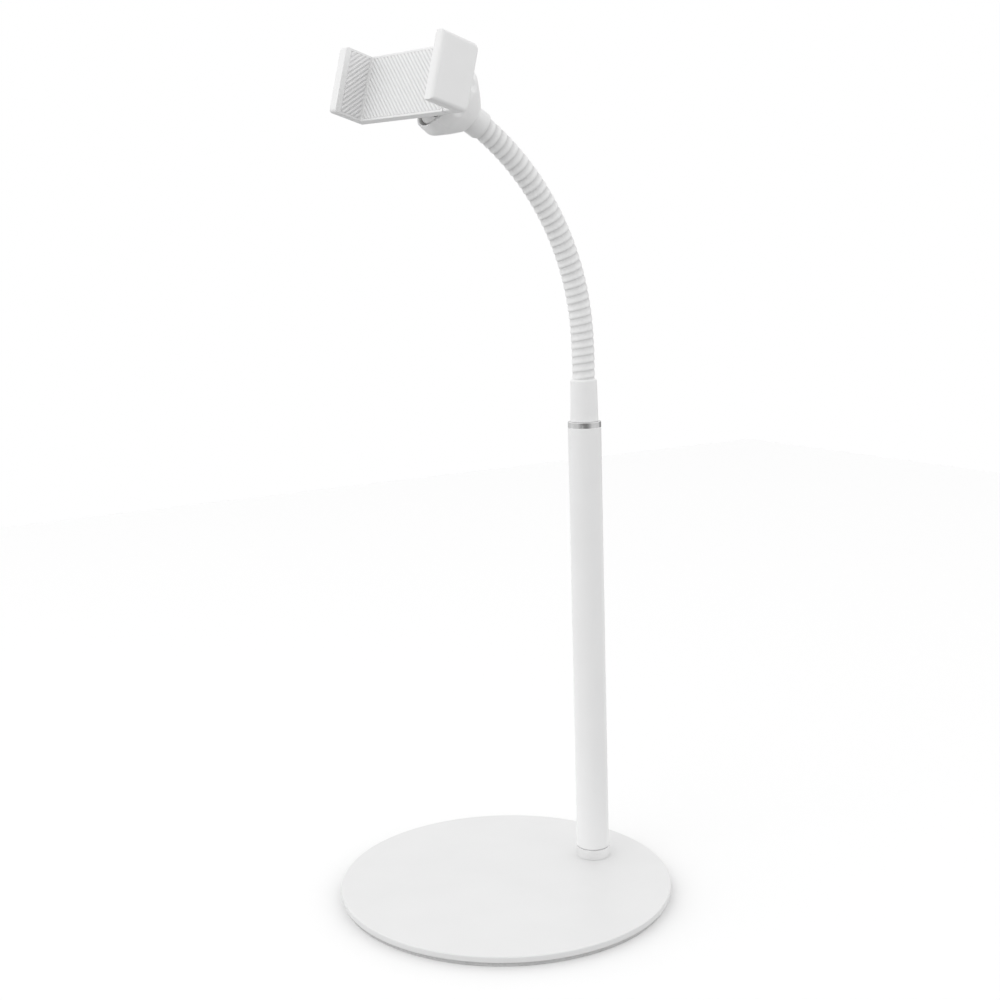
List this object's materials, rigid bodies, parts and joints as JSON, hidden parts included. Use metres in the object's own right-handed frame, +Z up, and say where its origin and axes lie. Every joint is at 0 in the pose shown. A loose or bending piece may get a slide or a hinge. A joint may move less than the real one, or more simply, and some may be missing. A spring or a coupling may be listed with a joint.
{
  "type": "phone gooseneck holder",
  "caption": "Desk stand for a phone: round weighted base, slim pole, bendable ribbed neck and a sprung clamp on a ball joint.",
  "frame": {"origin": "centre of the base's underside", "axes": "+Z up, the pole stands towards +Y, the clamp faces -Y, +X is to the right seen from the front"},
  "size_m": [0.16, 0.16, 0.399],
  "materials": {
    "white_paint": "smooth white powder coat",
    "neck_white": "white coated coil",
    "chrome": "polished chrome",
    "white_plastic": "satin white moulding",
    "socket_plastic": "dark grey moulding",
    "pad_rubber": "pale grey ribbed rubber",
    "base_rubber": "grey anti-slip foam rubber",
    "steel": "plain zinc-plated steel"
  },
  "bodies": {
    "stand": {"base_plate": "white_paint", "base_pad": "base_rubber", "pole_bolt": "steel", "foot_ring": "chrome", "pole_tube": "white_paint", "bottom_plug": "steel", "top_plug": "steel", "top_ring": "chrome", "neck_stud": "steel", "lower_collar": "white_plastic", "neck_link_1": "neck_white"},
    "neck_2": {"neck_link_2": "neck_white"},
    "neck_3": {"neck_link_3": "neck_white"},
    "neck_4": {"neck_link_4": "neck_white"},
    "neck_5": {"neck_link_5": "neck_white"},
    "neck_6": {"neck_link_6": "neck_white"},
    "neck_7": {"neck_link_7": "neck_white"},
    "neck_8": {"neck_link_8": "neck_white"},
    "neck_9": {"neck_link_9": "neck_white"},
    "head": {"neck_end": "neck_white", "upper_collar": "white_plastic", "ball_socket": "socket_plastic"},
    "nut": {"lock_nut": "white_plastic"},
    "seat": {"ball_seat": "socket_plastic"},
    "ball": {"ball_stud": "steel", "stud_ring": "steel"},
    "clamp": {"clamp_body": "white_plastic", "rear_cover": "white_plastic", "cover_screws": "steel", "back_pad": "pad_rubber", "fixed_jaw_pad": "pad_rubber", "jaw_springs": "steel"},
    "jaw": {"moving_jaw": "white_plastic", "moving_jaw_pad": "pad_rubber"}
  },
  "joints": [
    {"name": "neck_bend_1", "type": "hinge", "parent": "stand", "child": "neck_2", "pos_m": [0, 0.0522, 0.26016], "axis": [1, 0, 0], "range_deg": [-16, 12]},
    {"name": "neck_lean_1", "type": "hinge", "parent": "neck_2", "child": "neck_3", "pos_m": [0, 0.05134, 0.27489], "axis": [0, 0.9932, 0.1167], "range_deg": [-15, 15]},
    {"name": "neck_bend_2", "type": "hinge", "parent": "neck_3", "child": "neck_4", "pos_m": [0, 0.04876, 0.28943], "axis": [1, 0, 0], "range_deg": [-16, 12]},
    {"name": "neck_lean_2", "type": "hinge", "parent": "neck_4", "child": "neck_5", "pos_m": [0, 0.04451, 0.30356], "axis": [0, 0.9391, 0.3437], "range_deg": [-15, 15]},
    {"name": "neck_bend_3", "type": "hinge", "parent": "neck_5", "child": "neck_6", "pos_m": [0, 0.03863, 0.3171], "axis": [1, 0, 0], "range_deg": [-16, 12]},
    {"name": "neck_lean_3", "type": "hinge", "parent": "neck_6", "child": "neck_7", "pos_m": [0, 0.03122, 0.32987], "axis": [0, 0.8339, 0.5519], "range_deg": [-15, 15]},
    {"name": "neck_bend_4", "type": "hinge", "parent": "neck_7", "child": "neck_8", "pos_m": [0, 0.02237, 0.34168], "axis": [1, 0, 0], "range_deg": [-16, 12]},
    {"name": "neck_lean_4", "type": "hinge", "parent": "neck_8", "child": "neck_9", "pos_m": [0, 0.0122, 0.35237], "axis": [0, 0.6833, 0.7302], "range_deg": [-15, 15]},
    {"name": "neck_bend_5", "type": "hinge", "parent": "neck_9", "child": "head", "pos_m": [0, 0.00085, 0.36181], "axis": [1, 0, 0], "range_deg": [-16, 12]},
    {"name": "nut_turn", "type": "hinge", "parent": "head", "child": "nut", "pos_m": [0, -0.01256, 0.37054], "axis": [0, -0.8382, 0.5454], "range_deg": [0, 360]},
    {"name": "ball_pan", "type": "hinge", "parent": "head", "child": "seat", "pos_m": [0, -0.01675, 0.37327], "axis": [0, -0.8382, 0.5454], "continuous": true},
    {"name": "ball_tilt", "type": "hinge", "parent": "seat", "child": "ball", "pos_m": [0, -0.01675, 0.37327], "axis": [0.8455, 0.2913, 0.4476], "range_deg": [-53.8, 12.2]},
    {"name": "clamp_spin", "type": "hinge", "parent": "ball", "child": "clamp", "pos_m": [0, -0.01675, 0.37327], "axis": [0.1893, -0.9472, 0.2588], "continuous": true},
    {"name": "jaw_slide", "type": "slide", "parent": "clamp", "child": "jaw", "axis": [0.9815, 0.1901, -0.0219], "range_m": [0, 0.026], "stiffness_N_per_m": 200, "springref_m": -0.03, "deforming": ["jaw_springs"]}
  ],
  "couplings": [
    {"joint": "neck_bend_2", "follows": "neck_bend_1", "ratio": 1},
    {"joint": "neck_lean_2", "follows": "neck_lean_1", "ratio": 1},
    {"joint": "neck_bend_3", "follows": "neck_bend_1", "ratio": 1},
    {"joint": "neck_lean_3", "follows": "neck_lean_1", "ratio": 1},
    {"joint": "neck_bend_4", "follows": "neck_bend_1", "ratio": 1},
    {"joint": "neck_lean_4", "follows": "neck_lean_1", "ratio": 1},
    {"joint": "neck_bend_5", "follows": "neck_bend_1", "ratio": 1}
  ]
}
